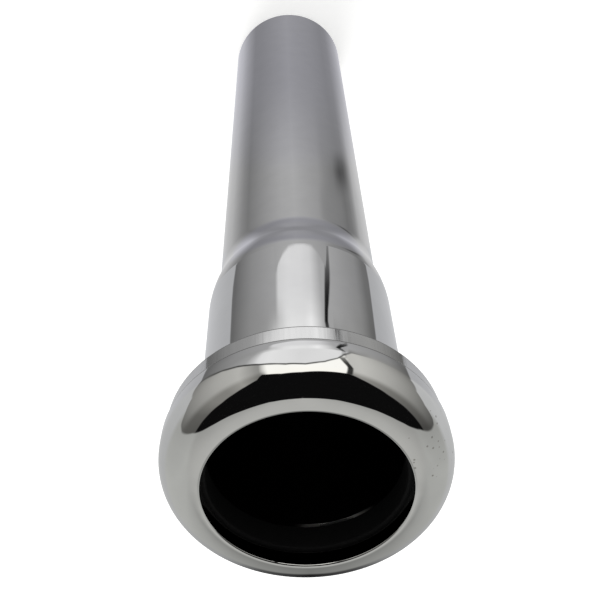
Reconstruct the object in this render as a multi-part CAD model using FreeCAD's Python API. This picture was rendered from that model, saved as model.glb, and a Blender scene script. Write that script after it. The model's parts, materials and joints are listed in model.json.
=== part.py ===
import FreeCAD, Part
import math
import os

# Slip-joint tail pipe for a basin waste, in millimetres.
# It stands on its plain end with the tube's axis on Z, and the nut is at the top.

# Tail tube
tube_od = 31.75
tube_wall = 1.14
tube_length = 177.8
end_break = 0.25
socket_depth = 40.5
flare_length = 10.0

# Threaded end of the bell, out to the crest of its thread
thread_step = 2.75
thread_length = 5.6
thread_chamfer = 0.4
seat_chamfer = 1.8

# Slip nut
nut_cover = 5.9
collar_wall = 2.15
collar_width = 4.0
collar_round = 0.35
body_step = 0.57
body_swell = 0.13
ledge_break = 0.2
dome_radius = 6.3
dome_height = 6.6
lip_round = 0.4
entry_chamfer = 0.6

# Slip washer
washer_thickness = 3.8
washer_nose = 0.8
washer_break = 0.4

# Clearances around the tube that is pushed in, which has this tube's diameter
socket_gap = 0.635
opening_gap = 0.725
washer_bore_gap = 0.075

# Clearances between the pieces
thread_gap = 0.3
seat_gap = 0.1
lip_gap = 0.1
nose_gap = 0.3
washer_side_gap = 0.5

# Radii that the sizes above give, from the tube outwards
tube_r = tube_od / 2
tube_bore_r = tube_r - tube_wall
washer_bore_r = tube_r + washer_bore_gap
opening_r = tube_r + opening_gap
socket_r = tube_r + socket_gap
seat_r = socket_r + seat_chamfer
bell_r = socket_r + tube_wall
thread_r = bell_r + thread_step
nut_bore_r = thread_r + thread_gap
washer_r = nut_bore_r - washer_side_gap
collar_r = nut_bore_r + collar_wall
body_r = collar_r + body_step
widest_r = body_r + body_swell
dome_r = widest_r - dome_radius


def spot(r, z):
    return FreeCAD.Vector(r, 0, z)


def line(start, end):
    return Part.makeLine(start, end)


def arc(centre, radius, start, end):
    """The short arc about centre from start to end, both on the circle."""
    halfway = (start + end) / 2 - centre
    middle = centre + halfway.normalize() * radius
    return Part.Arc(start, middle, end).toShape()


def outline(points):
    return [line(a, b) for a, b in zip(points, points[1:])]


def turned(edges):
    """A solid turned about Z from a closed half section."""
    face = Part.Face(Part.Wire(edges))
    solid = face.revolve(FreeCAD.Vector(0, 0, 0), FreeCAD.Vector(0, 0, 1), 360)
    return solid.removeSplitter()


def flare(foot, top, skin):
    """The S-shaped flare as two equal arcs, moved in by skin for the inside.

    The outside arcs run from foot to top and meet in the middle with one tangent.
    """
    rise = top.z - foot.z
    step = top.x - foot.x
    radius = (rise ** 2 + step ** 2) / (4 * step)
    low_centre = foot + spot(radius, 0)
    high_centre = top - spot(radius, 0)
    start = foot - spot(skin, 0)
    end = top - spot(skin, 0)
    toward = (high_centre - low_centre).normalize()
    meeting = low_centre + toward * (radius + skin)
    return [arc(low_centre, radius + skin, start, meeting),
            arc(high_centre, radius - skin, meeting, end)]


def backwards(edges):
    return [edge.reversed() for edge in reversed(edges)]


# Tail tube: plain end, flare, bell, shoulder and threaded end
flare_top = tube_length - socket_depth
flare_foot = flare_top - flare_length
thread_foot = tube_length - thread_length
shoulder_foot = thread_foot - thread_step
foot = spot(tube_r, flare_foot)
top = spot(bell_r, flare_top)

outside = [line(spot(tube_r - end_break, 0), spot(tube_r, end_break)),
           line(spot(tube_r, end_break), foot)]
outside += flare(foot, top, 0)
outside += outline([top,
                    spot(bell_r, shoulder_foot),
                    spot(thread_r, thread_foot),
                    spot(thread_r, tube_length - thread_chamfer),
                    spot(thread_r - thread_chamfer, tube_length),
                    spot(seat_r, tube_length),
                    spot(socket_r, tube_length - seat_chamfer),
                    spot(socket_r, flare_top)])
inside = backwards(flare(foot, top, tube_wall))
inside += outline([spot(tube_bore_r, flare_foot),
                   spot(tube_bore_r, end_break),
                   spot(tube_bore_r + end_break, 0),
                   spot(tube_r - end_break, 0)])
tail_tube = turned(outside + inside)

# Slip washer: a flat ring whose tapered nose looks into the mouth of the socket
washer_seat = tube_length + seat_gap
washer_top = washer_seat + washer_thickness
nose_tip = tube_length - washer_nose
taper_r = seat_r - nose_gap * math.sqrt(2)
slip_washer = turned(outline([spot(washer_bore_r, nose_tip),
                              spot(taper_r - washer_nose, nose_tip),
                              spot(taper_r + seat_gap, washer_seat),
                              spot(washer_r, washer_seat),
                              spot(washer_r, washer_top - washer_break),
                              spot(washer_r - washer_break, washer_top),
                              spot(washer_bore_r, washer_top),
                              spot(washer_bore_r, nose_tip)]))

# Slip nut: collar, a body that overhangs it by a ledge, dome and a lip that rolls into the opening
nut_rear = tube_length - nut_cover
lip_under = washer_top + lip_gap
ledge = nut_rear + collar_width
dome_centre = spot(dome_r, nut_rear + dome_height)

# The body's side is one shallow arc that is upright where the dome takes over
body_foot = spot(body_r, ledge + ledge_break)
widest = spot(widest_r, dome_centre.z)
side_rise = widest.z - body_foot.z
side_radius = (side_rise ** 2 + body_swell ** 2) / (2 * body_swell)
side_centre = widest - spot(side_radius, 0)

# The lip's small arc touches the dome's arc from the inside
lip_reach = dome_radius - lip_round
lip_side = opening_r + lip_round - dome_r
lip_centre = dome_centre + spot(lip_side, math.sqrt(lip_reach ** 2 - lip_side ** 2))
lip_meet = dome_centre + (lip_centre - dome_centre) / lip_reach * dome_radius
lip_end = lip_centre - spot(lip_round, 0)

collar_corner = spot(collar_r - collar_round, nut_rear)
collar_foot = spot(collar_r, nut_rear + collar_round)
collar_turn = spot(collar_r - collar_round, nut_rear + collar_round)
nut_edges = [line(spot(nut_bore_r + entry_chamfer, nut_rear), collar_corner),
             arc(collar_turn, collar_round, collar_corner, collar_foot)]
nut_edges += outline([collar_foot,
                      spot(collar_r, ledge),
                      spot(body_r - ledge_break, ledge),
                      body_foot])
nut_edges += [arc(side_centre, side_radius, body_foot, widest),
              arc(dome_centre, dome_radius, widest, lip_meet),
              arc(lip_centre, lip_round, lip_meet, lip_end)]
nut_edges += outline([lip_end,
                      spot(opening_r, lip_under),
                      spot(nut_bore_r, lip_under),
                      spot(nut_bore_r, nut_rear + entry_chamfer),
                      spot(nut_bore_r + entry_chamfer, nut_rear)])
slip_nut = turned(nut_edges)

os.makedirs("parts", exist_ok=True)
tail_tube.exportStep("parts/tail_tube.step")
slip_washer.exportStep("parts/slip_washer.step")
slip_nut.exportStep("parts/slip_nut.step")
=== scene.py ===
import json
import math

import bmesh
import bpy
from bpy.props import FloatProperty, FloatVectorProperty, IntProperty, PointerProperty
from mathutils import Matrix, Vector


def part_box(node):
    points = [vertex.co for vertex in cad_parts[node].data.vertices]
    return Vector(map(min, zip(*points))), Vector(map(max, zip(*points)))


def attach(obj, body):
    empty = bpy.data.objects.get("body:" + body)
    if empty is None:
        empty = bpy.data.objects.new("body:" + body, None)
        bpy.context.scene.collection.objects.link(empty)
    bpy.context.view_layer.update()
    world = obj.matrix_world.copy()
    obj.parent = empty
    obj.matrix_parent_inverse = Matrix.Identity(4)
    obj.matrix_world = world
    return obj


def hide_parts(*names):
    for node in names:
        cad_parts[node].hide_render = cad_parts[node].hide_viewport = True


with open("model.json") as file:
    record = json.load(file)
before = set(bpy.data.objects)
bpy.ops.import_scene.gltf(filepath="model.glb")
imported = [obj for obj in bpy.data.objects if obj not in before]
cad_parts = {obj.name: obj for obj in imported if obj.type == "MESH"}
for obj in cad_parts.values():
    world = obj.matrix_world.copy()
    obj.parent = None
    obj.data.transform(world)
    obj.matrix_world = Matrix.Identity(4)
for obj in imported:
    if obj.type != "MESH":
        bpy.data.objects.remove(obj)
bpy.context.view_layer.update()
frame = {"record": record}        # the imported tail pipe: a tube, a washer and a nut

bl_info = {
    "name": "Slip-joint tail pipe",
    "version": (1, 0, 0),
    "blender": (4, 5, 0),
    "location": "3D View > Sidebar > Tail pipe",
    "description": "Builds a chrome-plated tail pipe with its slip nut and washer",
    "category": "Add Mesh",
}

MM = 0.001
_, TUBE_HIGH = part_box("tail_tube")
NUT_LOW, NUT_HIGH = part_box("slip_nut")
WASHER_LOW, WASHER_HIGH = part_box("slip_washer")
MOUNT_RADIUS = {
    mount["name"]: mount["dims"]["r_mm"] * MM for mount in frame["record"]["mounts"]
}

# How finely the turned pieces are cut
AROUND = 224          # steps round the axis
ARC_STEP = 0.16 * MM  # longest chord along a curved profile
GUARD = 0.10 * MM     # narrow bands beside each edge keep long walls shaded straight
MERGE = 0.0001 * MM   # points closer than this are one
SHARP = math.radians(38)    # an edge that turns by more than this is shaded sharp

# Small roundings and chamfers
FINE_ROUND = 0.1 * MM       # an edge that a tool has just touched
EDGE_ROUND = 0.15 * MM      # a deburred edge
SEAT_ROUND = 0.08 * MM      # the inner edge of the washer's seat, which carries its one glint
SHOULDER_ROUND = 1.2 * MM   # the bell where it steps out to the thread
ROOT_ROUND = 0.4 * MM       # that shoulder where it meets the thread's root
RIM_CHAMFER = 0.35 * MM     # the rim where the thread starts
LIP_UNDER_ROUND = 0.2 * MM  # the inner edge of the lip's underside
POCKET_ROUND = 0.3 * MM     # the corner of the pocket that holds the washer
NOSE_ROUND = 0.2 * MM       # the washer's nose where it meets the flange
SATIN_START = 1.15          # how far past its rounding the collar's satin starts, as a share of it


def linear(code):
    """Turns an sRGB hex colour into linear red, green and blue"""
    parts = [int(code[i:i + 2], 16) / 255 for i in (1, 3, 5)]
    return tuple(p / 12.92 if p <= 0.04045 else ((p + 0.055) / 1.055) ** 2.4 for p in parts)


def add(tree, kind, feeds=None, output=0, **settings):
    """Adds one node and gives one of its outputs: settings are the node's own values, and feeds
    are what its inputs get"""
    made = tree.nodes.new(kind)
    for name, value in settings.items():
        setattr(made, name, value)
    for name, value in (feeds or {}).items():
        if isinstance(value, bpy.types.NodeSocket):
            tree.links.new(value, made.inputs[name])
        else:
            made.inputs[name].default_value = value
    return made.outputs[output] if made.outputs else None


# Sizes and colours

SIZE = {"unit": "LENGTH", "precision": 5}
COLOUR = {"subtype": "COLOR", "size": 3, "min": 0, "max": 1}


class TubeSizes(bpy.types.PropertyGroup):
    """Sizes of the drawn tube"""
    outer: FloatProperty(
        name="Outside radius", description="Half the plain tube's outside diameter",
        default=MOUNT_RADIUS["plain_end"], **SIZE)
    wall: FloatProperty(
        name="Wall", description="Thickness of the drawn brass wall",
        default=1.14 * MM, **SIZE)
    length: FloatProperty(
        name="Length", description="From the plain end to the threaded rim",
        default=TUBE_HIGH.z, **SIZE)
    bell: FloatProperty(
        name="Bell radius", description="Half the bell's outside diameter",
        default=17.65 * MM, **SIZE)
    flare_foot: FloatProperty(
        name="Flare foot", description="Height at which the tube starts to open",
        default=125.0 * MM, **SIZE)
    flare_length: FloatProperty(
        name="Flare length", description="Height of the S-shaped flare",
        default=14.0 * MM, **SIZE)
    shoulder: FloatProperty(
        name="Shoulder", description="Height at which the bell steps out to the thread",
        default=169.45 * MM, **SIZE)
    seat: FloatProperty(
        name="Seat radius", description="Rim radius of the seat that the washer presses on",
        default=18.31 * MM, **SIZE)
    end_round: FloatProperty(
        name="End rounding", description="Rounding of the sawn plain end",
        default=0.25 * MM, **SIZE)
    crest: FloatProperty(
        name="Thread crest", description="Outside radius of the thread",
        default=TUBE_HIGH.x, **SIZE)
    root: FloatProperty(
        name="Thread root", description="Radius at the bottom of the thread",
        default=19.3 * MM, **SIZE)


class NutSizes(bpy.types.PropertyGroup):
    """Sizes of the slip nut"""
    rear: FloatProperty(
        name="Rear", description="Height of the nut's rear face",
        default=NUT_LOW.z, **SIZE)
    top: FloatProperty(
        name="Top", description="Height of the front lip",
        default=NUT_HIGH.z, **SIZE)
    bore: FloatProperty(
        name="Bore radius", description="Radius of the threaded bore",
        default=20.7 * MM, **SIZE)
    opening: FloatProperty(
        name="Opening radius", description="Radius of the hole in the lip",
        default=16.6 * MM, **SIZE)
    collar: FloatProperty(
        name="Collar radius", description="Outside radius of the rear collar",
        default=22.85 * MM, **SIZE)
    ledge: FloatProperty(
        name="Ledge", description="Height of the ledge where the body overhangs the collar",
        default=4.0 * MM, **SIZE)
    ledge_radius: FloatProperty(
        name="Ledge radius", description="Outside radius of the body at that ledge",
        default=23.46 * MM, **SIZE)
    ledge_round: FloatProperty(
        name="Ledge rounding", description="Rounding of the ledge's outer edge",
        default=0.16 * MM, **SIZE)
    collar_round: FloatProperty(
        name="Collar rounding", description="Rounding of the collar's rear edge",
        default=0.35 * MM, **SIZE)
    dome: FloatProperty(
        name="Dome radius", description="Radius of the rounded body's profile",
        default=6.3 * MM, **SIZE)
    lip_round: FloatProperty(
        name="Lip rounding", description="Rounding of the lip into the opening",
        default=0.3 * MM, **SIZE)
    lip_depth: FloatProperty(
        name="Lip depth", description="From the lip's top to its underside",
        default=3.0 * MM, **SIZE)
    entry: FloatProperty(
        name="Entry chamfer", description="Chamfer where the thread starts",
        default=0.6 * MM, **SIZE)


class WasherSizes(bpy.types.PropertyGroup):
    """Sizes of the slip washer"""
    bore: FloatProperty(
        name="Bore radius", description="Radius of the washer's hole",
        default=MOUNT_RADIUS["slip_joint"], **SIZE)
    outer: FloatProperty(
        name="Outside radius", description="Half the washer's outside diameter",
        default=WASHER_HIGH.x, **SIZE)
    nose: FloatProperty(
        name="Nose height", description="Height of the tapered nose below the flange",
        default=0.9 * MM, **SIZE)
    nose_radius: FloatProperty(
        name="Nose radius", description="Outside radius at the nose's tip",
        default=17.086 * MM, **SIZE)
    edge_round: FloatProperty(
        name="Edge rounding", description="Rounding of the moulded edges",
        default=0.35 * MM, **SIZE)


class ThreadSizes(bpy.types.PropertyGroup):
    """Sizes of the straight pipe thread between tube and nut"""
    pitch: FloatProperty(
        name="Pitch", description="Rise of one turn: eleven and a half turns to 25.4 mm",
        default=25.4 / 11.5 * MM, **SIZE)
    crest_flat: FloatProperty(
        name="Crest flat", description="Width of the ridge at its top",
        default=0.3 * MM, **SIZE)
    steps: IntProperty(
        name="Steps", description="Points in one turn of the ridge", default=96, min=12)
    nut_crest: FloatProperty(
        name="Nut crest", description="Inside radius of the nut's own thread",
        default=19.7 * MM, **SIZE)
    start: FloatProperty(
        name="Start", description="Height at which the tube's ridge starts",
        default=172.4 * MM, **SIZE)
    tube_turns: FloatProperty(
        name="Turns on the tube", description="Turns of the tube's ridge", default=2.2, min=0.5)
    nut_turns: FloatProperty(
        name="Turns in the nut", description="Turns of the nut's ridge", default=1.8, min=0.5)


class Finishes(bpy.types.PropertyGroup):
    """Colours of the plating, the rubber and the floor"""
    chrome: FloatVectorProperty(
        name="Chrome", description="Mirror colour of clean chrome plate",
        default=linear("#CDCDCD"), **COLOUR)
    chrome_dim: FloatVectorProperty(
        name="Chrome, dimmer", description="Chrome where buffing has left a faint haze",
        default=linear("#C4C4C4"), **COLOUR)
    pit: FloatVectorProperty(
        name="Pit", description="Colour of the tiny pits in the nut's plating",
        default=linear("#8C8985"), **COLOUR)
    # painted shade: darker plate along the collar's rear edge and the ledge's edge
    ledge: FloatVectorProperty(
        name="Ledge", description="Dull plate along the edge of the nut's ledge",
        default=linear("#8E8D8A"), **COLOUR)
    # Bore colours: brown oxide, painted near black as the shade deep inside the tube
    bore: FloatVectorProperty(
        name="Bore", description="Oxidised brass inside, where the plating doesn't reach",
        default=linear("#191615"), **COLOUR)
    bore_dim: FloatVectorProperty(
        name="Bore, dimmer", description="Darker streaks of the oxidised bore",
        default=linear("#0D0B0C"), **COLOUR)
    # the rubber's black is partly painted shade, darker than rubber, for the dark inside the nut
    rubber: FloatVectorProperty(
        name="Rubber", description="Matt black moulded rubber",
        default=linear("#060607"), **COLOUR)
    rubber_dust: FloatVectorProperty(
        name="Rubber bloom", description="Greyer bloom on the rubber's skin",
        default=linear("#0C0C0D"), **COLOUR)
    floor: FloatVectorProperty(
        name="Floor", description="Pale studio table",
        default=linear("#F2F2F1"), **COLOUR)


# Turned profiles

def bow(centre, radius, start, end, least=2):
    """Points on an arc of a profile, from one angle to another in degrees"""
    sweep = math.radians(end - start)
    count = max(least, math.ceil(abs(sweep) * radius / ARC_STEP))
    return [
        (centre[0] + radius * math.cos(math.radians(start) + sweep * i / count),
         centre[1] + radius * math.sin(math.radians(start) + sweep * i / count))
        for i in range(count + 1)
    ]


def eased(before, corner, after, radius):
    """Points that round the corner of a profile between its two straight walls"""
    point = Vector(corner)
    back = (Vector(before) - point).normalized()
    ahead = (Vector(after) - point).normalized()
    half = back.angle(ahead) / 2
    centre = point + (back + ahead).normalized() * (radius / math.sin(half))
    reach = radius / math.tan(half)
    first = point + back * reach - centre
    last = point + ahead * reach - centre
    start = math.degrees(math.atan2(first.y, first.x))
    sweep = math.degrees(math.atan2(last.y, last.x)) - start
    sweep = (sweep + 180) % 360 - 180
    return bow(centre, radius, start, start + sweep, least=4)


def profile(corners):
    """Rounds the corners of a closed profile and adds the guard bands to its long walls.
    A corner is its radius, height, rounding and the finish of the wall that follows it."""
    rounded = []
    for i, (r, z, rounding, finish) in enumerate(corners):
        if rounding:
            before, after = corners[i - 1][:2], corners[(i + 1) % len(corners)][:2]
            rounded += [(*point, finish) for point in eased(before, (r, z), after, rounding)]
        else:
            rounded.append((r, z, finish))
    guarded = []
    for i, (r, z, finish) in enumerate(rounded):
        here, there = Vector((r, z)), Vector(rounded[(i + 1) % len(rounded)][:2])
        guarded.append((r, z, finish))
        span = (there - here).length
        if span > 4 * GUARD:
            guarded.append((*here.lerp(there, GUARD / span), finish))
            guarded.append((*here.lerp(there, 1 - GUARD / span), finish))
    return guarded


def turned(name, corners, finishes):
    """Turns a closed profile round the axis into a new object with those finishes"""
    outline = profile(corners)
    mesh = bpy.data.meshes.new(name)
    shape = bmesh.new()
    rings = []
    for k in range(AROUND):
        angle = 2 * math.pi * k / AROUND
        rings.append([
            shape.verts.new((r * math.cos(angle), r * math.sin(angle), z)) for r, z, _ in outline
        ])
    for k in range(AROUND):
        here, there = rings[k], rings[(k + 1) % AROUND]
        for i, (_, _, finish) in enumerate(outline):
            j = (i + 1) % len(outline)
            face = shape.faces.new((here[i], there[i], there[j], here[j]))
            face.material_index = finish
            face.smooth = True
    bmesh.ops.remove_doubles(shape, verts=shape.verts, dist=MERGE)
    bmesh.ops.recalc_face_normals(shape, faces=shape.faces)
    shape.to_mesh(mesh)
    shape.free()
    for finish in finishes:
        mesh.materials.append(finish)
    mesh.set_sharp_from_angle(angle=SHARP)
    made = bpy.data.objects.new(name, mesh)
    bpy.context.scene.collection.objects.link(made)
    return made


def flare(inner_r, outer_r, foot, length, wall):
    """The S-shaped flare: two equal arcs that meet halfway, as points outside and inside"""
    step = outer_r - inner_r
    bend = (length ** 2 + step ** 2) / (4 * step)
    sweep = math.degrees(math.asin(length / (2 * bend)))
    low = (inner_r + bend, foot)
    high = (outer_r - bend, foot + length)
    outside = bow(low, bend, 180, 180 - sweep) + bow(high, bend, -sweep, 0)[1:]
    inside = bow(low, bend + wall, 180, 180 - sweep) + bow(high, bend - wall, -sweep, 0)[1:]
    return outside, inside


# Thread

THREAD_INPUTS = ("Root radius", "Depth", "Root width", "Crest width", "Pitch", "Turns",
                 "First height", "Section turn")
THREAD_FADE = 0.12    # share of the ridge's length over which each end fades in
THREAD_TIP = 0.05     # share of its full section that is left at each end
THREAD_SINK = 0.05 * MM             # how deep the ridge is sunk in its wall
THREAD_FLANK = math.radians(30)     # slope of its sides


def thread_tree():
    """Geometry nodes that join a right-hand thread ridge to the turned piece"""
    tree = bpy.data.node_groups.get("thread_ridge")
    if tree:
        return tree
    tree = bpy.data.node_groups.new("thread_ridge", "GeometryNodeTree")
    tree.interface.new_socket("Piece", in_out="INPUT", socket_type="NodeSocketGeometry")
    for name in THREAD_INPUTS:
        tree.interface.new_socket(name, in_out="INPUT", socket_type="NodeSocketFloat")
    tree.interface.new_socket("Steps", in_out="INPUT", socket_type="NodeSocketInt")
    tree.interface.new_socket("Finish", in_out="INPUT", socket_type="NodeSocketMaterial")
    tree.interface.new_socket("Piece", in_out="OUTPUT", socket_type="NodeSocketGeometry")
    given = add(tree, "NodeGroupInput").node.outputs
    rise = add(tree, "ShaderNodeMath", {0: given["Pitch"], 1: given["Turns"]}, operation="MULTIPLY")
    helix = add(tree, "GeometryNodeCurveSpiral", {
        "Resolution": given["Steps"], "Rotations": given["Turns"],
        "Start Radius": given["Root radius"], "End Radius": given["Root radius"],
        "Height": rise, "Reverse": True})
    helix = add(tree, "GeometryNodeSetCurveNormal", {"Curve": helix}, mode="Z_UP")
    half_depth = add(tree, "ShaderNodeMath", {0: given["Depth"], 1: 0.5}, operation="MULTIPLY")
    section = add(tree, "GeometryNodeCurvePrimitiveQuadrilateral", {
        "Height": given["Depth"], "Bottom Width": given["Root width"],
        "Top Width": given["Crest width"], "Offset": 0.0}, mode="TRAPEZOID")
    offset = add(tree, "ShaderNodeCombineXYZ", {"Y": half_depth})
    section = add(tree, "GeometryNodeTransform", {"Geometry": section, "Translation": offset})
    turn = add(tree, "ShaderNodeCombineXYZ", {"Z": given["Section turn"]})
    section = add(tree, "GeometryNodeTransform", {"Geometry": section, "Rotation": turn})
    along = add(tree, "GeometryNodeSplineParameter")
    first, last = [
        add(tree, "ShaderNodeMapRange", {
            "Value": along, "From Min": end, "From Max": full, "To Min": THREAD_TIP, "To Max": 1.0})
        for end, full in ((0.0, THREAD_FADE), (1.0, 1.0 - THREAD_FADE))
    ]
    size = add(tree, "ShaderNodeMath", {0: first, 1: last}, operation="MINIMUM")
    ridge = add(tree, "GeometryNodeCurveToMesh", {
        "Curve": helix, "Profile Curve": section, "Scale": size, "Fill Caps": True})
    place = add(tree, "ShaderNodeCombineXYZ", {"Z": given["First height"]})
    ridge = add(tree, "GeometryNodeTransform", {"Geometry": ridge, "Translation": place})
    ridge = add(tree, "GeometryNodeRealizeInstances", {"Geometry": ridge})
    ridge = add(tree, "GeometryNodeSetMaterial", {"Geometry": ridge, "Material": given["Finish"]})
    both = add(tree, "GeometryNodeJoinGeometry")
    for part in (ridge, given["Piece"]):
        tree.links.new(part, both.node.inputs[0])
    add(tree, "NodeGroupOutput", {"Piece": both})
    return tree


def threaded(piece, finish, thread, root, crest, turns, start):
    """Cuts a thread from its root radius to its crest and leaves the piece as one plain mesh"""
    depth = abs(crest - root)
    outwards = 1 if crest > root else -1
    values = {
        "Root radius": root - outwards * THREAD_SINK, "Depth": depth + THREAD_SINK,
        "Root width": thread.crest_flat + 2 * depth * math.tan(THREAD_FLANK),
        "Crest width": thread.crest_flat, "Pitch": thread.pitch, "Turns": turns,
        "First height": start, "Section turn": -outwards * math.pi / 2,
        "Steps": thread.steps, "Finish": finish}
    tree = thread_tree()
    cutter = piece.modifiers.new("thread", "NODES")
    cutter.node_group = tree
    for socket in tree.interface.items_tree:
        if socket.in_out == "INPUT" and socket.name in values:
            cutter[socket.identifier] = values[socket.name]
    bpy.context.view_layer.update()
    cut = piece.evaluated_get(bpy.context.evaluated_depsgraph_get())
    mesh = bpy.data.meshes.new_from_object(cut)
    piece.modifiers.remove(cutter)
    mesh.name = piece.name
    piece.data = mesh


# Finishes

BUFF_WAVE = 13 * MM       # length of the soft waves that buffing leaves under the plate
BUFF_RISE = 0.010 * MM    # height of those waves
NUT_WAVE = 3.5 * MM       # shorter waves on the nut, which was buffed by hand
NUT_RISE = 0.012 * MM
HAZE_SIZE = 4 * MM        # size of the faint hazy patches
LINE_WIDTH = 0.35 * MM    # real polishing lines are finer; drawn this coarse so that they show
LINE_RISE = 0.0005 * MM   # height of those lines
LINE_STRETCH = 0.012      # width of the tube's lines as a share of their length
PIT_SPACING = 0.9 * MM    # mean distance between places where the nut's plate may be pitted
PIT_EDGE = 0.264          # radius at which a pit begins, as a share of that distance
PIT_CORE = 0.06           # radius at which it is full
PIT_PLACE = Vector((-20, -6, 183.5)) * MM    # where on the nut the pits crowd together
PIT_REACH = 7.5 * MM      # how far the crowd reaches
PIT_SKIP = 0.3            # share of the places that stay clean in the middle of the crowd
PIT_ROUGHNESS = 0.3       # what a pit adds to the roughness
STREAK_WIDTH = 0.5 * MM   # file streaks on the collar, drawn this coarse so that they show
STREAK_RISE = 0.012 * MM  # depth of those streaks
STREAK_STRETCH = 0.03     # their width as a share of their length
DRAW_WIDTH = 0.8 * MM     # drawing streaks in the bore, drawn coarse as well
DRAW_RISE = 0.004 * MM
DRAW_STRETCH = 0.04
RUBBER_GRAIN = 0.3 * MM   # grain of the moulded rubber's skin
RUBBER_RISE = 0.012 * MM
BLOOM_SIZE = 5 * MM       # size of the patches of bloom on it
GLINT_PATCH_PLACE = math.radians(17)    # where round the seat the chrome patch that places its glint sits, from +Y towards -X
GLINT_PATCH_REACH = math.radians(27)    # how far that patch reaches to either side; past it the edge is near black, painted shade


def coated(name, recipe, *given):
    """A material whose one shader gets the inputs that one of the recipes below works out"""
    finish = bpy.data.materials.new(name)
    finish.use_nodes = True
    tree = finish.node_tree
    tree.nodes.clear()
    shader = add(tree, "ShaderNodeBsdfPrincipled", recipe(tree, *given))
    add(tree, "ShaderNodeOutputMaterial", {"Surface": shader})
    return finish


def chrome_plate(tree, looks, on_nut):
    """Bright chrome plate over buffed brass. The eye sees a cool, slightly dark mirror, whose
    edges bend a little where buffing left waves, with faint lines: along the drawn tube, and
    round the turned nut, which also shows a few pits."""
    place = add(tree, "ShaderNodeTexCoord", output="Object")
    wave, rise = (NUT_WAVE, NUT_RISE) if on_nut else (BUFF_WAVE, BUFF_RISE)
    waves = add(tree, "ShaderNodeTexNoise", {"Vector": place, "Scale": 1 / wave, "Detail": 1.0})
    haze = add(tree, "ShaderNodeTexNoise", {"Vector": place, "Scale": 1 / HAZE_SIZE, "Detail": 3.0})
    if on_nut:
        parts = add(tree, "ShaderNodeSeparateXYZ", {"Vector": place}).node.outputs
        flat = add(tree, "ShaderNodeCombineXYZ", {"X": parts["X"], "Y": parts["Y"]})
        radius = add(tree, "ShaderNodeVectorMath", {0: flat}, output="Value", operation="LENGTH")
        along = add(tree, "ShaderNodeCombineXYZ", {"X": radius, "Z": parts["Z"]})
    else:
        along = add(tree, "ShaderNodeMapping", {"Vector": place, "Scale": (1.0, 1.0, LINE_STRETCH)})
    lines = add(tree, "ShaderNodeTexNoise", {"Vector": along, "Scale": 1 / LINE_WIDTH, "Detail": 2.0})
    colour = add(tree, "ShaderNodeMix", {
        0: haze, 6: (*looks.chrome, 1), 7: (*looks.chrome_dim, 1)}, output=2, data_type="RGBA")
    mixed = add(tree, "ShaderNodeMath", {0: haze, 1: lines}, operation="MULTIPLY")
    roughness = add(tree, "ShaderNodeMapRange", {
        "Value": mixed, "From Min": 0.1, "From Max": 0.45, "To Min": 0.012, "To Max": 0.035})
    if on_nut:
        cells = add(tree, "ShaderNodeTexVoronoi", {
            "Vector": place, "Scale": 1 / PIT_SPACING}).node.outputs
        chance = add(tree, "ShaderNodeSeparateColor", {"Color": cells["Color"]}, output="Red")
        away = add(tree, "ShaderNodeVectorMath", {0: place, 1: PIT_PLACE}, output="Value",
                   operation="DISTANCE")
        bar = add(tree, "ShaderNodeMapRange", {
            "Value": away, "From Max": PIT_REACH, "To Min": PIT_SKIP, "To Max": 1.0})
        pitted = add(tree, "ShaderNodeMath", {0: chance, 1: bar}, operation="GREATER_THAN")
        near = add(tree, "ShaderNodeMapRange", {
            "Value": cells["Distance"], "From Min": PIT_EDGE, "From Max": PIT_CORE})
        pits = add(tree, "ShaderNodeMath", {0: pitted, 1: near}, operation="MULTIPLY")
        colour = add(tree, "ShaderNodeMix", {0: pits, 6: colour, 7: (*looks.pit, 1)}, output=2,
                     data_type="RGBA")
        roughness = add(tree, "ShaderNodeMath", {0: pits, 1: PIT_ROUGHNESS, 2: roughness},
                        operation="MULTIPLY_ADD")
    bent = add(tree, "ShaderNodeBump", {"Height": waves, "Distance": rise})
    bent = add(tree, "ShaderNodeBump", {
        "Height": lines, "Distance": LINE_RISE, "Normal": bent})
    return {"Base Color": colour, "Metallic": 1.0, "Roughness": roughness, "Normal": bent}


def satin_collar(tree, looks):
    """Chrome over a collar that was filed along the axis before plating. The eye sees a soft
    mirror whose edges are smeared round the collar, with fine streaks along the axis."""
    place = add(tree, "ShaderNodeTexCoord", output="Object")
    along = add(tree, "ShaderNodeMapping", {"Vector": place, "Scale": (1.0, 1.0, STREAK_STRETCH)})
    streaks = add(tree, "ShaderNodeTexNoise", {
        "Vector": along, "Scale": 1 / STREAK_WIDTH, "Detail": 3.0})
    colour = add(tree, "ShaderNodeMix", {
        0: streaks, 6: (*looks.chrome, 1), 7: (*looks.chrome_dim, 1)}, output=2, data_type="RGBA")
    roughness = add(tree, "ShaderNodeMapRange", {
        "Value": streaks, "From Min": 0.3, "From Max": 0.7, "To Min": 0.06, "To Max": 0.12})
    bent = add(tree, "ShaderNodeBump", {
        "Height": streaks, "Distance": STREAK_RISE})
    return {"Base Color": colour, "Metallic": 1.0, "Roughness": roughness, "Normal": bent}


def ledge_painted_shade(tree, looks):
    """Darker, rougher plate along the edges of the collar and the ledge: painted shade, the thin dark
    lines that the gaps there show. The eye sees thin dull lines round the nut, darker than the mirror
    on either side of them."""
    place = add(tree, "ShaderNodeTexCoord", output="Object")
    haze = add(tree, "ShaderNodeTexNoise", {"Vector": place, "Scale": 1 / HAZE_SIZE, "Detail": 3.0})
    roughness = add(tree, "ShaderNodeMapRange", {"Value": haze, "To Min": 0.2, "To Max": 0.4})
    return {"Base Color": (*looks.ledge, 1), "Metallic": 1.0, "Roughness": roughness}


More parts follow.
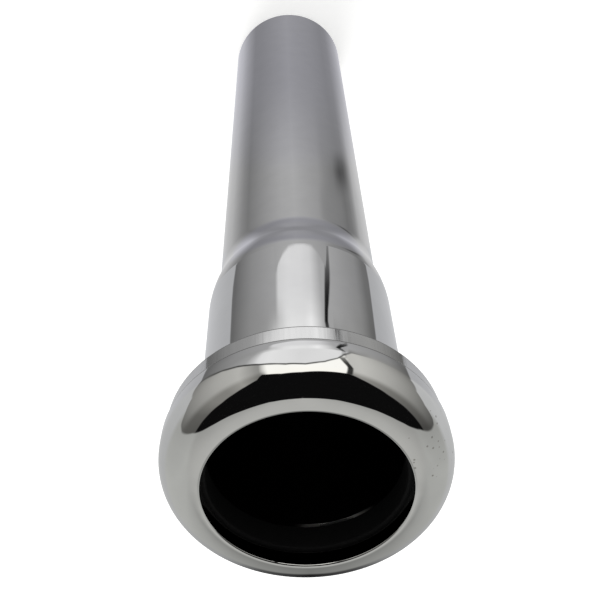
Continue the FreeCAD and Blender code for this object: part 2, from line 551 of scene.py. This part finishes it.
def dark_bore(tree, looks):
    """Brass that the plating bath barely reached, browned by oxide, with drawing streaks along the
    tube; its near black is painted shade, standing in for the dark deep in the hole. The eye sees a
    dull dark hole with hardly a gleam."""
    place = add(tree, "ShaderNodeTexCoord", output="Object")
    along = add(tree, "ShaderNodeMapping", {"Vector": place, "Scale": (1.0, 1.0, DRAW_STRETCH)})
    streaks = add(tree, "ShaderNodeTexNoise", {
        "Vector": along, "Scale": 1 / DRAW_WIDTH, "Detail": 3.0})
    colour = add(tree, "ShaderNodeMix", {
        0: streaks, 6: (*looks.bore, 1), 7: (*looks.bore_dim, 1)}, output=2, data_type="RGBA")
    roughness = add(tree, "ShaderNodeMapRange", {"Value": streaks, "To Min": 0.35, "To Max": 0.6})
    bent = add(tree, "ShaderNodeBump", {"Height": streaks, "Distance": DRAW_RISE})
    return {"Base Color": colour, "Metallic": 1.0, "Roughness": roughness, "Normal": bent}


def seat_glint_in_shade(tree, looks):
    """Edge of the washer's seat, near black as painted shade except one chrome patch, placed where
    the edge should catch its glint. The eye sees one short thin gleam deep in the black mouth."""
    place = add(tree, "ShaderNodeTexCoord", output="Object")
    x, y, _ = add(tree, "ShaderNodeSeparateXYZ", {"Vector": place}).node.outputs
    turn = add(tree, "ShaderNodeMath", {0: x, 1: y}, operation="ARCTAN2")
    away = add(tree, "ShaderNodeMath", {0: turn, 1: GLINT_PATCH_PLACE})
    away = add(tree, "ShaderNodeMath", {0: away}, operation="ABSOLUTE")
    glint_patch = add(tree, "ShaderNodeMapRange", {
        "Value": away, "From Min": GLINT_PATCH_REACH, "From Max": 0.0}, interpolation_type="SMOOTHSTEP")
    colour = add(tree, "ShaderNodeMix", {
        0: glint_patch, 6: (*looks.bore_dim, 1), 7: (*looks.chrome, 1)}, output=2, data_type="RGBA")
    roughness = add(tree, "ShaderNodeMapRange", {"Value": glint_patch, "To Min": 0.6, "To Max": 0.12})
    return {"Base Color": colour, "Metallic": 1.0, "Roughness": roughness}


def black_rubber(tree, looks):
    """Moulded black rubber, set darker than rubber is as painted shade deep inside the nut. The eye
    sees a matt, faintly grainy black with a greyer bloom.
    """
    place = add(tree, "ShaderNodeTexCoord", output="Object")
    grain = add(tree, "ShaderNodeTexNoise", {
        "Vector": place, "Scale": 1 / RUBBER_GRAIN, "Detail": 2.0})
    bloom = add(tree, "ShaderNodeTexNoise", {
        "Vector": place, "Scale": 1 / BLOOM_SIZE, "Detail": 3.0})
    colour = add(tree, "ShaderNodeMix", {
        0: bloom, 6: (*looks.rubber, 1), 7: (*looks.rubber_dust, 1)}, output=2, data_type="RGBA")
    roughness = add(tree, "ShaderNodeMapRange", {"Value": grain, "To Min": 0.65, "To Max": 0.85})
    bent = add(tree, "ShaderNodeBump", {"Height": grain, "Distance": RUBBER_RISE})
    return {"Base Color": colour, "Roughness": roughness, "IOR": 1.52,
            "Specular IOR Level": 0.2, "Normal": bent}


# Stage

CAMERA_PLACE = Vector((0.0, -0.107583, 0.288306))
CAMERA_BACK = Vector((-0.05084, -0.55697, 0.82897))
CAMERA_UP = Vector((-0.04349, -0.82803, -0.55900))    # the photograph has the nut at its foot
CAMERA_LENS = 56.628      # mm
CAMERA_SENSOR = 36.0      # mm
CAMERA_NEAR = 0.01        # nearest thing that it sees
CAMERA_SHIFT = (0.0833, -0.0133)    # the photograph is cropped off its lens axis
FLOOR_REACH = 3.0         # half the floor's side
FLOOR_DROP = 0.02 * MM    # keeps the floor just under the sawn end
FLOOR_LIFT = 0.45         # what the camera sees of the floor beyond its own light
SKY_LEVEL = 0.65          # plain light from all round
KEY_POWER = 2.6           # watts of the one soft lamp
KEY_SIDE = 0.55
KEY_PLACE = Vector((0.22, 0.55, 0.75))

# The studio as polished metal sees it, in degrees. Azimuth 0 is the camera's side and 90 is +X.
# A band's levels are its brightness at some azimuths. Its edge is the elevation at which it takes
# over from the band under it, over a height of soft degrees. A wavy band's edge wavers, and line
# is the share of light that a thin dark line along that edge takes away.
STUDIO_TOP = 2.0          # brightness of a full ramp
STUDIO_WOBBLE = 2.0       # degrees by which a wavy edge wavers, as hung paper does
STUDIO_WAVES = 4.0        # how close together it wavers
LINE_PEAK = 0.25          # largest product of a share and its rest, in the middle of an edge
# Levels that three of the table's bands share on the +X side
TABLE_LEFT = [(0, 0.66), (20, 0.62), (66, 0.36), (80, 0.29), (92, 0.36), (120, 0.62), (150, 0.70)]
TABLE_BANDS = [
    {"name": "foot_of_stand", "tint": "#F8F8FF", "levels": [(0, 0.38)]},
    {"name": "under_table", "tint": "#F8F8FF", "edge": [(0, -83.5)], "soft": 7, "levels": [
        (-150, 0.46), (-98, 0.37), (-60, 0.38), (-28, 0.46), (0, 0.50), (25, 0.48), (50, 0.40),
        (75, 0.37), (100, 0.40), (150, 0.48)]},
    {"name": "near_table", "tint": "#F6F6FF", "edge": [(0, -74)], "soft": 6, "levels": [
        (-150, 0.64), (-130, 0.54), (-98, 0.36), (-82, 0.35), (-54, 0.42), (0, 0.51), (60, 0.365),
        (78, 0.35), (98, 0.48), (120, 0.66), (150, 0.74)]},
    {"name": "far_table", "tint": "#FBFBFF", "edge": [(0, -66)], "soft": 7, "levels": [
        (-134, 0.70), (-118, 0.60), (-106, 0.40), (-98, 0.32), (-88, 0.31), (-54, 0.40), (-42, 0.49),
        *TABLE_LEFT]},
    {"name": "dark_stand", "tint": "#FCFCFD", "edge": [(0, -63.7)], "soft": 1.6, "levels": [
        (-134, 0.70), (-120, 0.60), (-110, 0.38), (-103, 0.23), (-96, 0.14), (-86, 0.12),
        (-79, 0.18), (-71, 0.29), (-54, 0.39), (-42, 0.49), *TABLE_LEFT]},
    {"name": "table_rim", "tint": "#FCFCFD", "edge": [(0, -62.1)], "soft": 1.8, "levels": [
        (-134, 0.70), (-118, 0.60), (-108, 0.38), (-100, 0.29), (-90, 0.255), (-80, 0.31),
        (-68, 0.34), (-54, 0.37), (-47, 0.40), (-38, 0.51), *TABLE_LEFT]},
]
FRONT_BANDS = [
    {"name": "cards", "tint": "#FEFEFF", "levels": [
        (-102, 0.22), (-92, 0.24), (-78, 0.40), (-40, 0.59), (-28, 0.62), (-16, 1.02), (-4, 1.12),
        (12, 1.14), (24, 1.06), (28, 0.58), (60, 0.41), (86, 0.21)]},
    {"name": "card_feet", "tint": "#FFFFFF", "edge": [(0, -55)], "soft": 2.5, "levels": [
        (-102, 0.22), (-92, 0.24), (-78, 0.40), (-40, 0.59), (-30, 0.58), (-26, 0.82), (-21, 1.08),
        (-14, 1.40), (-6, 1.24), (8, 1.30), (14, 1.24), (18, 1.10), (28, 0.53), (60, 0.41),
        (86, 0.21)]},
    {"name": "paper", "tint": "#FFFFFF", "soft": 4,
     "edge": [(-100, -51), (10, -51), (22, -53.5), (40, -53.5), (60, -51)], "levels": [
         (-92, 0.28), (-66, 0.53), (-36, 0.80), (-33, 1.10), (-26, 1.20), (0, 1.15), (22, 1.30),
         (29, 1.20), (33, 0.86), (39, 0.56), (48, 0.48), (66, 0.34), (86, 0.22)]},
    {"name": "wall", "tint": "#FFFEF8", "soft": 8, "wavy": True,
     "edge": [(-100, -52), (-40, -51), (-30, -38), (-24, -22), (-15, -6), (-3, 2), (10, -1),
              (27, -15), (45, -33), (60, -42), (81, -48)],
     "line": [(-60, 0.1), (-30, 0.8), (0, 0.95), (30, 0.95), (66, 0.75), (90, 0.3)],
     "levels": [
         (-100, 0.13), (-86, 0.30), (-54, 0.70), (-40, 0.88), (-31, 0.88), (-30, 1.62), (23, 1.62),
         (28, 0.46), (31, 0.48), (42, 0.76), (60, 0.62), (86, 0.32), (94, 0.22)]},
    {"name": "high_wall", "tint": "#FFFDF5", "edge": [(0, 12)], "soft": 16, "levels": [
        (-100, 0.10), (-86, 0.17), (-60, 0.31), (-40, 0.45), (-31, 0.36), (-30, 1.62), (23, 1.62),
        (26, 0.28), (30, 0.28), (42, 0.52), (54, 0.37), (66, 0.36), (82, 0.19), (98, 0.15)]},
    {"name": "black_flag", "tint": "#FFFEFF", "soft": 2.5, "levels": [(0, 0.006)],
     "edge": [(-110, 28), (-66, 29), (-54, 26.5), (-42, 22), (-32, 17), (-20, 20), (0, 24.5),
              (14, 24), (22, 19), (27, 15), (32, 25), (42, 31), (54, 35), (66, 37), (100, 38)]},
]
BACK_BANDS = [
    {"name": "back_cards", "tint": "#FBFCFF", "levels": [
        (-130, 0.66), (-106, 0.62), (98, 0.65), (130, 0.69)]},
    {"name": "back_wall", "tint": "#FEFFFF", "edge": [(0, -48)], "soft": 6, "levels": [
        (-180, 0.02), (-172, 0.10), (-165, 0.45), (-150, 0.62), (-110, 0.77), (90, 0.71),
        (150, 0.62), (165, 0.45), (172, 0.10), (180, 0.02)]},
    {"name": "back_screen", "tint": "#FDFEF9", "soft": 14,
     "edge": [(-180, 8), (-165, 0), (-150, -10), (150, -10), (165, 0), (180, 8)], "levels": [
        (-180, 0.30), (-170, 0.42), (-160, 0.53), (-148, 0.62), (-130, 0.65), (-104, 0.53),
        (98, 0.58), (130, 0.69), (148, 0.67), (160, 0.57), (170, 0.43), (180, 0.30)]},
    {"name": "ceiling", "tint": "#FEFEF9", "edge": [(0, 42)], "soft": 8, "levels": [
        (-180, 0.72), (-150, 0.66), (-112, 0.52), (106, 0.52), (150, 0.66), (180, 0.72)]},
]
# Azimuth and elevation of the line where the front and the back come up from behind the table
CARD_TOPS = [(-110, -58.2), (-94, -58.5), (-80, -59.3), (-42, -59.3), (-37, -57.3), (-33, -57.7),
             (-28, -58.25), (-20, -58.7), (-10, -58.85), (0, -58.85), (10, -58.7), (18, -58.3),
             (24, -57.7), (28, -57), (30, -59.3), (74, -59.3), (84, -58.5), (110, -58.2)]
CARD_TOPS_SOFT = 0.3      # degrees over which that line is soft
# Elevation, and the azimuths to the left and to the right at which the front gives way to the back
STUDIO_SIDES = [(-59, 84, 99), (-56, 91, 102), (-50, 89, 96), (-44, 87, 89), (-25, 81.5, 83.5),
                (-12, 86, 89), (-6, 89, 97.5), (0, 93, 100), (12, 97, 102), (34, 100, 104.5),
                (48, 106, 109.5), (65, 112, 115), (78, 122, 126), (81, 135, 138),
                (82.6, 150, 152), (83.8, 180, 180)]
STUDIO_SIDES_SOFT = 2.5   # degrees over which they do
# Elevation and azimuth of the dark gap between two front cards, with the share of light that it
# takes away and half its width
STUDIO_GAP = [(-59, -41, 0.4, 3), (-57, -38, 0.8, 4.5), (-56, -36, 0.95, 4.5), (-55, -33, 0.97, 3),
              (-54, -31.5, 0.97, 2.6), (-53.3, -33.5, 0.7, 2.6), (-52, -34.5, 0.7, 2.2),
              (-49, -34, 0.4, 2), (-46, -32.5, 0.3, 2), (-32, -29, 0.2, 3), (-25, -27.5, 0.8, 3),
              (-12, -29.3, 0.95, 2.6), (0, -32, 0.95, 2.6), (16, -32.5, 0.9, 2.6), (20, -32.5, 0, 3)]


def turn_share(turn):
    """Place of an azimuth along a ramp that goes all round"""
    return (turn + 180) / 360


def rise_share(rise):
    """Place of an elevation along a ramp that goes from straight down to straight up"""
    return (rise + 90) / 180


def fill(ramp, points):
    """Gives a colour ramp its marks, from pairs of a place and a colour"""
    marks = ramp.node.color_ramp.elements
    while len(marks) > 1:
        marks.remove(marks[-1])
    for i, (place, colour) in enumerate(sorted(points)):
        mark = marks.new(place) if i else marks[0]
        mark.position = place
        mark.color = (*colour, 1)
    return ramp


def beyond(tree, place, edge, soft):
    """How far a place is past an edge, from 0 to 1 over the edge's softness"""
    past = add(tree, "ShaderNodeMath", {0: place, 1: edge}, operation="SUBTRACT")
    return add(tree, "ShaderNodeMapRange", {
        "Value": past, "From Min": -soft / 2, "From Max": soft / 2},
        interpolation_type="SMOOTHSTEP")


def banded(tree, bands, around, height, wavy):
    """The light of some bands, from the lowest band up"""
    light = None
    for band in bands:
        tint = linear(band["tint"])
        ramp = add(tree, "ShaderNodeValToRGB", {"Fac": around}, label=band["name"])
        levels = fill(ramp, [(turn_share(turn), [level / STUDIO_TOP * part for part in tint])
                             for turn, level in band["levels"]])
        if light is None:
            light = levels
            continue
        ramp = add(tree, "ShaderNodeValToRGB", {"Fac": around}, label=band["name"])
        edge = fill(ramp, [(turn_share(turn), [rise_share(rise)] * 3) for turn, rise in band["edge"]])
        share = beyond(tree, wavy if "wavy" in band else height, edge, band["soft"] / 180)
        light = add(tree, "ShaderNodeMix", {0: share, 6: light, 7: levels}, output=2,
                    data_type="RGBA")
        if "line" in band:
            ramp = add(tree, "ShaderNodeValToRGB", {"Fac": around}, label=band["name"])
            taken = fill(ramp, [(turn_share(turn), [part] * 3) for turn, part in band["line"]])
            rest = add(tree, "ShaderNodeMath", {0: 1.0, 1: share}, operation="SUBTRACT")
            line = add(tree, "ShaderNodeMath", {0: share, 1: rest}, operation="MULTIPLY")
            line = add(tree, "ShaderNodeMath", {0: line, 1: taken}, operation="MULTIPLY")
            kept = add(tree, "ShaderNodeMath", {0: line, 1: -1 / LINE_PEAK, 2: 1.0},
                       operation="MULTIPLY_ADD")
            light = add(tree, "ShaderNodeVectorMath", {0: light, "Scale": kept}, operation="SCALE")
    return light


def studio_world():
    """Plain light for the eye and for matt surfaces, and the studio's cards for metal"""
    world = bpy.data.worlds.new("soft_studio")
    world.use_nodes = True
    tree = world.node_tree
    tree.nodes.clear()
    seen = add(tree, "ShaderNodeTexCoord", output="Generated")
    x, y, z = add(tree, "ShaderNodeSeparateXYZ", {"Vector": seen}).node.outputs
    toward = add(tree, "ShaderNodeMath", {0: y, 1: -1.0}, operation="MULTIPLY")
    azimuth = add(tree, "ShaderNodeMath", {0: x, 1: toward}, operation="ARCTAN2")
    around = add(tree, "ShaderNodeMapRange", {
        "Value": azimuth, "From Min": -math.pi, "From Max": math.pi})
    elevation = add(tree, "ShaderNodeMath", {0: z}, operation="ARCSINE")
    height = add(tree, "ShaderNodeMapRange", {
        "Value": elevation, "From Min": -math.pi / 2, "From Max": math.pi / 2})
    waver = add(tree, "ShaderNodeTexNoise", {
        "Vector": seen, "Scale": STUDIO_WAVES, "Detail": 1.0})
    waver = add(tree, "ShaderNodeMapRange", {
        "Value": waver, "To Min": -STUDIO_WOBBLE / 180, "To Max": STUDIO_WOBBLE / 180})
    wavy = add(tree, "ShaderNodeMath", {0: height, 1: waver})
    table, front, back = [banded(tree, bands, around, height, wavy)
                          for bands in (TABLE_BANDS, FRONT_BANDS, BACK_BANDS)]
    # Gap between the front cards, full over the inner half of its width
    ramp = add(tree, "ShaderNodeValToRGB", {"Fac": height}, label="gap")
    gap = fill(ramp, [(rise_share(rise), (turn_share(turn), taken, width / 360))
                      for rise, turn, taken, width in STUDIO_GAP])
    place, taken, width = add(tree, "ShaderNodeSeparateColor", {"Color": gap}).node.outputs
    away = add(tree, "ShaderNodeMath", {0: around, 1: place}, operation="SUBTRACT")
    away = add(tree, "ShaderNodeMath", {0: away}, operation="ABSOLUTE")
    within = add(tree, "ShaderNodeMapRange", {
        "Value": away, "From Min": width, "From Max": 0.0, "To Max": 2.0})
    within = add(tree, "ShaderNodeMath", {0: within, 1: 1.0}, operation="MINIMUM")
    dark = add(tree, "ShaderNodeMath", {0: within, 1: taken}, operation="MULTIPLY")
    kept = add(tree, "ShaderNodeMath", {0: 1.0, 1: dark}, operation="SUBTRACT")
    front = add(tree, "ShaderNodeVectorMath", {0: front, "Scale": kept}, operation="SCALE")
    # Sides, where the front gives way to the back
    ramp = add(tree, "ShaderNodeValToRGB", {"Fac": height}, label="sides")
    sides = fill(ramp, [(rise_share(rise), (turn_share(left), turn_share(-right), 0))
                        for rise, left, right in STUDIO_SIDES])
    left, right, _ = add(tree, "ShaderNodeSeparateColor", {"Color": sides}).node.outputs
    soft = STUDIO_SIDES_SOFT / 360
    outside = add(tree, "ShaderNodeMath", {
        0: beyond(tree, around, left, soft), 1: beyond(tree, right, around, soft)},
        operation="MAXIMUM")
    studio = add(tree, "ShaderNodeMix", {0: outside, 6: front, 7: back}, output=2, data_type="RGBA")
    # Table in front of them
    ramp = add(tree, "ShaderNodeValToRGB", {"Fac": around}, label="card_tops")
    edge = fill(ramp, [(turn_share(turn), [rise_share(rise)] * 3) for turn, rise in CARD_TOPS])
    clear = beyond(tree, height, edge, CARD_TOPS_SOFT / 180)
    studio = add(tree, "ShaderNodeMix", {0: clear, 6: table, 7: studio}, output=2, data_type="RGBA")
    path = add(tree, "ShaderNodeLightPath").node.outputs
    level = add(tree, "ShaderNodeMapRange", {
        "Value": path["Is Camera Ray"], "To Min": SKY_LEVEL, "To Max": 1.0})
    plain = add(tree, "ShaderNodeBackground", {"Color": (1, 1, 1, 1), "Strength": level})
    cards = add(tree, "ShaderNodeBackground", {"Color": studio, "Strength": STUDIO_TOP})
    both = add(tree, "ShaderNodeMixShader", {0: path["Is Glossy Ray"], 1: plain, 2: cards})
    add(tree, "ShaderNodeOutputWorld", {"Surface": both})
    return world


def pale_table(tree, looks):
    """A matt white painted table. The eye sees a soft even white with the object's shadow."""
    camera = add(tree, "ShaderNodeLightPath", output="Is Camera Ray")
    lift = add(tree, "ShaderNodeMath", {0: camera, 1: FLOOR_LIFT}, operation="MULTIPLY")
    return {"Base Color": (*looks.floor, 1), "Roughness": 0.9, "Specular IOR Level": 0.0,
            "Emission Color": (1, 1, 1, 1), "Emission Strength": lift}


# Operators

class TAILPIPE_OT_tube(bpy.types.Operator):
    """Turn the drawn tube with its flare, bell, seat and thread"""
    bl_idname = "tailpipe.tube"
    bl_label = "Tail tube"

    def execute(self, context):
        sizes = context.scene.tail_pipe
        tube, thread, looks = sizes.tube, sizes.thread, sizes.finishes
        chrome = coated("chrome_on_drawn_brass", chrome_plate, looks, False)
        # the bore's near black is painted shade over its oxide
        bore = coated("oxide_and_painted_shade_bore", dark_bore, looks)
        socket = tube.bell - tube.wall
        outside, inside = flare(tube.outer, tube.bell, tube.flare_foot, tube.flare_length, tube.wall)
        seat_foot = tube.length - (tube.seat - socket)
        corners = [(tube.outer, 0.0, tube.end_round, 0)]
        corners += [(r, z, 0, 0) for r, z in outside]
        corners += [
            (tube.bell, tube.shoulder, SHOULDER_ROUND, 0),
            (tube.root, tube.shoulder + tube.root - tube.bell, ROOT_ROUND, 0),
            (tube.root, tube.length - RIM_CHAMFER, 0, 0),
            (tube.root - RIM_CHAMFER, tube.length, 0, 0),
            (tube.seat, tube.length, FINE_ROUND, 2),
            (socket, seat_foot, SEAT_ROUND, 2),
            (socket, seat_foot - 2 * SEAT_ROUND, 0, 1),
        ]
        corners += [(r, z, 0, 1) for r, z in reversed(inside)]
        corners += [(tube.outer - tube.wall, 0.0, tube.end_round, 0)]
        # the seat's edge: painted shade, with one chrome patch that places its glint
        seat = coated("chrome_patch_on_shaded_seat", seat_glint_in_shade, looks)
        piece = turned("tail_tube_plated", corners, [chrome, bore, seat])
        threaded(piece, chrome, thread, tube.root, tube.crest, thread.tube_turns, thread.start)
        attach(piece, "tube")
        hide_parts("tail_tube")
        return {"FINISHED"}


class TAILPIPE_OT_nut(bpy.types.Operator):
    """Turn the slip nut with its collar, ledge, dome, lip and inside thread"""
    bl_idname = "tailpipe.nut"
    bl_label = "Slip nut"

    def execute(self, context):
        sizes = context.scene.tail_pipe
        nut, thread, looks = sizes.nut, sizes.thread, sizes.finishes
        chrome = coated("chrome_on_turned_brass", chrome_plate, looks, True)
        satin = coated("chrome_on_filed_collar", satin_collar, looks)
        ledge = nut.rear + nut.ledge
        dome_z = nut.top - nut.dome
        dome_r = NUT_HIGH.x - nut.dome
        swell = NUT_HIGH.x - nut.ledge_radius
        side = ((dome_z - ledge) ** 2 + swell ** 2) / (2 * swell)
        low_angle = -math.degrees(math.asin((dome_z - ledge) / side))
        lip_r = nut.opening + nut.lip_round
        lip_z = dome_z + math.sqrt((nut.dome - nut.lip_round) ** 2 - (lip_r - dome_r) ** 2)
        high_angle = math.degrees(math.atan2(lip_z - dome_z, lip_r - dome_r))
        body = bow((NUT_HIGH.x - side, dome_z), side, low_angle, 0)
        body = [spot for spot in body if spot[1] > ledge + nut.ledge_round]
        body += bow((dome_r, dome_z), nut.dome, 0, high_angle)[1:]
        body += bow((lip_r, lip_z), nut.lip_round, high_angle, 180)[1:]
        corners = [
            (nut.bore + nut.entry, nut.rear, EDGE_ROUND, 0),
            (nut.collar, nut.rear, nut.collar_round, 2),
            (nut.collar, nut.rear + SATIN_START * nut.collar_round, 0, 1),
            (nut.collar, ledge, FINE_ROUND, 0),
            (nut.ledge_radius, ledge, nut.ledge_round, 2),
        ]
        corners += [(r, z, 0, 0) for r, z in body]
        underside = nut.top - nut.lip_depth
        corners += [
            (nut.opening, underside, LIP_UNDER_ROUND, 0),
            (nut.bore, underside, POCKET_ROUND, 0),
            (nut.bore, nut.rear + nut.entry, EDGE_ROUND, 0),
        ]
        # darker plate on the collar's rear rounding and the ledge's rounding: painted shade of the
        # gaps there
        dull = coated("chrome_painted_shade_at_ledge", ledge_painted_shade, looks)
        piece = turned("slip_nut_plated", corners, [chrome, satin, dull])
        threaded(piece, chrome, thread, nut.bore, thread.nut_crest, thread.nut_turns,
                 thread.start + thread.pitch / 2)
        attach(piece, "nut")
        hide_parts("slip_nut")
        return {"FINISHED"}


class TAILPIPE_OT_washer(bpy.types.Operator):
    """Turn the rubber slip washer with its tapered nose"""
    bl_idname = "tailpipe.washer"
    bl_label = "Slip washer"

    def execute(self, context):
        washer = context.scene.tail_pipe.washer
        rubber = coated("moulded_black_rubber", black_rubber, context.scene.tail_pipe.finishes)
        foot, top = WASHER_LOW.z, WASHER_HIGH.z
        flange = foot + washer.nose
        corners = [
            (washer.bore, foot, EDGE_ROUND, 0),
            (washer.nose_radius, foot, EDGE_ROUND, 0),
            (washer.nose_radius + washer.nose, flange, NOSE_ROUND, 0),
            (washer.outer, flange, washer.edge_round, 0),
            (washer.outer, top, washer.edge_round, 0),
            (washer.bore, top, washer.edge_round, 0),
        ]
        piece = turned("slip_washer_moulded", corners, [rubber])
        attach(piece, "washer")
        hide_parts("slip_washer")
        return {"FINISHED"}


class TAILPIPE_OT_stage(bpy.types.Operator):
    """Set the pale table, the soft light and the camera"""
    bl_idname = "tailpipe.stage"
    bl_label = "Stage"

    def execute(self, context):
        scene = context.scene
        scene.view_settings.view_transform = "Standard"
        scene.world = studio_world()
        mesh = bpy.data.meshes.new("pale_table")
        corners = [(x * FLOOR_REACH, y * FLOOR_REACH, -FLOOR_DROP)
                   for x, y in ((-1, -1), (1, -1), (1, 1), (-1, 1))]
        mesh.from_pydata(corners, [], [(0, 1, 2, 3)])
        mesh.materials.append(coated("matt_white_table", pale_table, scene.tail_pipe.finishes))
        table = bpy.data.objects.new("pale_table", mesh)
        table.visible_glossy = False    # metal sees the studio's own table band instead
        scene.collection.objects.link(table)
        light = bpy.data.lights.new("soft_key", "AREA")
        light.shape, light.size, light.energy = "DISK", KEY_SIDE, KEY_POWER
        key = bpy.data.objects.new("soft_key", light)
        key.location = KEY_PLACE
        key.rotation_euler = (-KEY_PLACE).to_track_quat("-Z", "Y").to_euler()
        key.visible_glossy = False
        scene.collection.objects.link(key)
        lens = bpy.data.cameras.new("photo_camera")
        lens.lens, lens.sensor_width = CAMERA_LENS, CAMERA_SENSOR
        lens.clip_start = CAMERA_NEAR
        lens.shift_x, lens.shift_y = CAMERA_SHIFT
        camera = bpy.data.objects.new("photo_camera", lens)
        back = CAMERA_BACK.normalized()
        right = CAMERA_UP.cross(back).normalized()
        up = back.cross(right)
        turn = Matrix((right, up, back)).transposed().to_4x4()
        camera.matrix_world = Matrix.Translation(CAMERA_PLACE) @ turn
        scene.collection.objects.link(camera)
        scene.camera = camera
        return {"FINISHED"}


class TAILPIPE_PT_panel(bpy.types.Panel):
    """Lists the pieces of the tail pipe"""
    bl_idname = "TAILPIPE_PT_panel"
    bl_label = "Tail pipe"
    bl_space_type = "VIEW_3D"
    bl_region_type = "UI"
    bl_category = "Tail pipe"

    def draw(self, context):
        for operator in OPERATORS:
            self.layout.operator(operator.bl_idname)
        for group in ("tube", "nut", "washer", "thread", "finishes"):
            box = self.layout.box()
            sizes = getattr(context.scene.tail_pipe, group)
            for name in sizes.__annotations__:
                box.prop(sizes, name)


class TailPipe(bpy.types.PropertyGroup):
    """All sizes and colours of the tail pipe"""
    tube: PointerProperty(type=TubeSizes)
    nut: PointerProperty(type=NutSizes)
    washer: PointerProperty(type=WasherSizes)
    thread: PointerProperty(type=ThreadSizes)
    finishes: PointerProperty(type=Finishes)


OPERATORS = (TAILPIPE_OT_tube, TAILPIPE_OT_nut, TAILPIPE_OT_washer, TAILPIPE_OT_stage)
CLASSES = (TubeSizes, NutSizes, WasherSizes, ThreadSizes, Finishes, TailPipe,
           *OPERATORS, TAILPIPE_PT_panel)


def register():
    for one in CLASSES:
        bpy.utils.register_class(one)
    bpy.types.Scene.tail_pipe = PointerProperty(type=TailPipe)


def unregister():
    del bpy.types.Scene.tail_pipe
    for one in reversed(CLASSES):
        bpy.utils.unregister_class(one)


def main():
    register()
    bpy.ops.tailpipe.tube()
    bpy.ops.tailpipe.nut()
    bpy.ops.tailpipe.washer()
    bpy.ops.tailpipe.stage()


if __name__ == "__main__":
    main()
